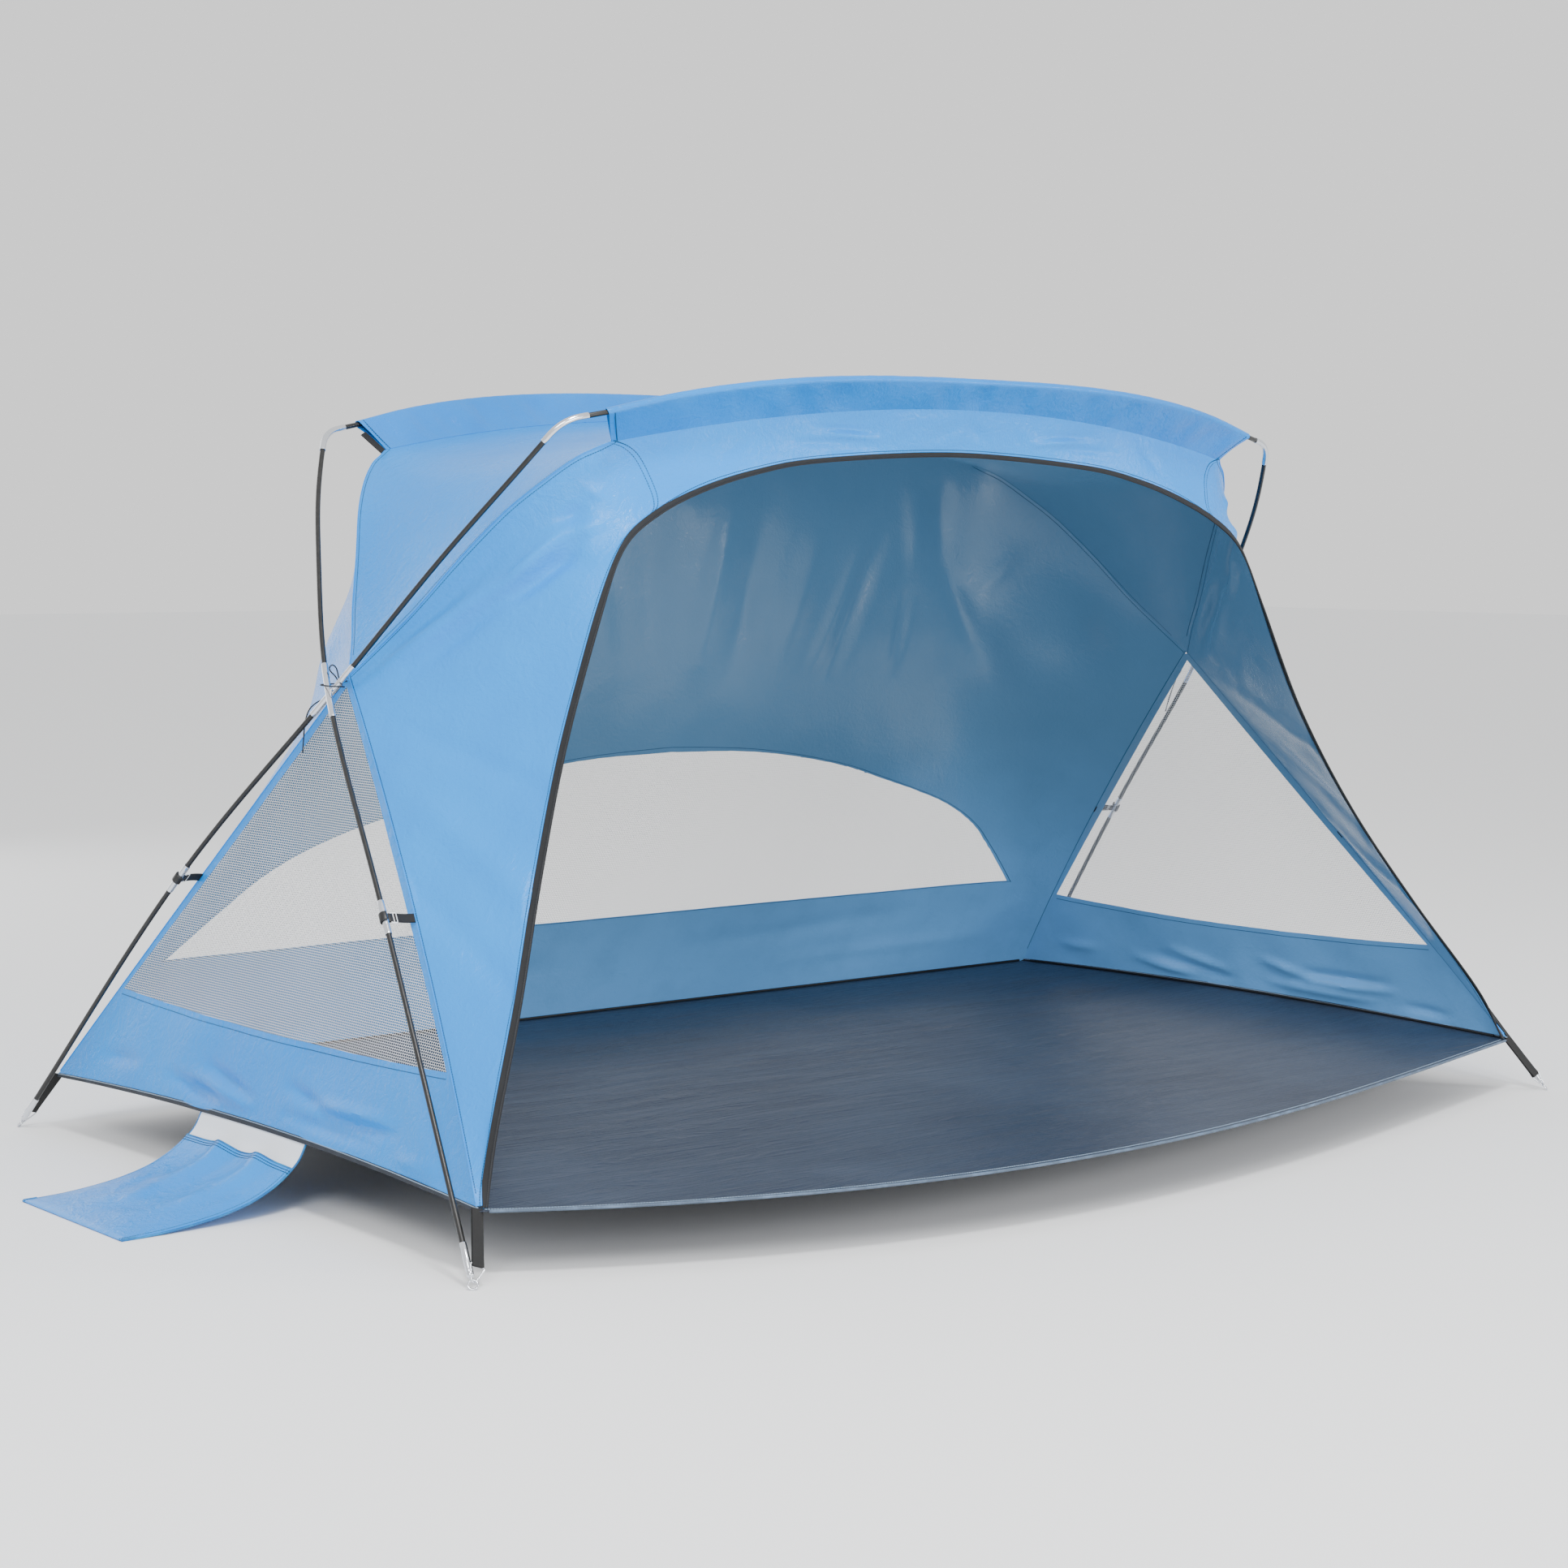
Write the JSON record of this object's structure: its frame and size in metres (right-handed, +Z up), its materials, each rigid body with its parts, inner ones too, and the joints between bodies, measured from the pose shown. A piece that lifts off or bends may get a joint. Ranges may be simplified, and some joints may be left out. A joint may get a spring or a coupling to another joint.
{
  "type": "beach tent",
  "caption": "Open-fronted beach tent: two crossed arch poles carry a sewn canopy with net windows, an arched doorway, a floor with a rounded porch, and sand pockets on the sides.",
  "frame": {"origin": "on the ground, below the middle of the whole tent's box", "axes": "+X to the tent's right as seen from the doorway side looking in, -Y out of the doorway, +Z up"},
  "size_m": [2.7584, 1.5542, 1.226],
  "materials": {
    "blue_polyester": "coated woven polyester, satin",
    "slate_floor_cloth": "coated heavy woven cloth, slightly glossy",
    "white_net": "knitted net with small holes",
    "black_webbing": "woven webbing",
    "zip_tape": "dark grey tape with a coil zip",
    "black_glass_fibre": "black pultruded glass fibre, satin",
    "bright_steel": "bright plated steel",
    "elastic_cord": "braided elastic",
    "black_plastic": "moulded black plastic",
    "tie_cord": "thin braided cord"
  },
  "bodies": {
    "tent": {"front_ridge_pole_lower_section_left": "black_glass_fibre", "front_ridge_pole_middle_section_left": "black_glass_fibre", "front_ridge_pole_upper_section_left": "black_glass_fibre", "front_ridge_pole_clip_ferrule_left": "bright_steel", "front_ridge_pole_cross_ferrule_left": "bright_steel", "front_ridge_pole_elbow_left": "bright_steel", "front_ridge_pole_lower_section_right": "black_glass_fibre", "front_ridge_pole_middle_section_right": "black_glass_fibre", "front_ridge_pole_upper_section_right": "black_glass_fibre", "front_ridge_pole_clip_ferrule_right": "bright_steel", "front_ridge_pole_cross_ferrule_right": "bright_steel", "front_ridge_pole_elbow_right": "bright_steel", "front_ridge_pole_ridge_section": "black_glass_fibre", "front_ridge_pole_shock_cord": "elastic_cord", "rear_ridge_pole_lower_section_left": "black_glass_fibre", "rear_ridge_pole_middle_section_left": "black_glass_fibre", "rear_ridge_pole_upper_section_left": "black_glass_fibre", "rear_ridge_pole_clip_ferrule_left": "bright_steel", "rear_ridge_pole_cross_ferrule_left": "bright_steel", "rear_ridge_pole_elbow_left": "bright_steel", "rear_ridge_pole_lower_section_right": "black_glass_fibre", "rear_ridge_pole_middle_section_right": "black_glass_fibre", "rear_ridge_pole_upper_section_right": "black_glass_fibre", "rear_ridge_pole_clip_ferrule_right": "bright_steel", "rear_ridge_pole_cross_ferrule_right": "bright_steel", "rear_ridge_pole_elbow_right": "bright_steel", "rear_ridge_pole_ridge_section": "black_glass_fibre", "rear_ridge_pole_shock_cord": "elastic_cord", "pole_tip_rear_left": "bright_steel", "foot_ring_rear_left": "bright_steel", "corner_strap_rear_left": "black_webbing", "pole_clip_rear_left": "black_plastic", "pole_tip_rear_right": "bright_steel", "foot_ring_rear_right": "bright_steel", "corner_strap_rear_right": "black_webbing", "pole_clip_rear_right": "black_plastic", "pole_tip_front_left": "bright_steel", "foot_ring_front_left": "bright_steel", "corner_strap_front_left": "black_webbing", "pole_clip_front_left": "black_plastic", "pole_tip_front_right": "bright_steel", "foot_ring_front_right": "bright_steel", "corner_strap_front_right": "black_webbing", "pole_clip_front_right": "black_plastic", "roof_panel": "blue_polyester", "front_panel": "blue_polyester", "rear_panel": "blue_polyester", "side_panel_left": "blue_polyester", "side_panel_right": "blue_polyester", "front_sleeve": "blue_polyester", "rear_sleeve": "blue_polyester", "floor_sheet": "slate_floor_cloth", "rear_window_net": "white_net", "side_window_net_left": "white_net", "side_window_net_right": "white_net", "door_zip_tape": "zip_tape", "apex_tie_left": "tie_cord", "apex_tie_right": "tie_cord"},
    "left_pocket": {"sand_pocket_left": "blue_polyester"},
    "right_pocket": {"sand_pocket_right": "blue_polyester"}
  },
  "joints": [
    {"name": "left_pocket_hinge", "type": "hinge", "parent": "tent", "child": "left_pocket", "pos_m": [-1.086, 0.0956, 0.10043], "axis": [0, 1, 0], "range_deg": [0, 95]},
    {"name": "right_pocket_hinge", "type": "hinge", "parent": "tent", "child": "right_pocket", "pos_m": [1.086, 0.0956, 0.10043], "axis": [0, -1, 0], "range_deg": [0, 95]}
  ]
}
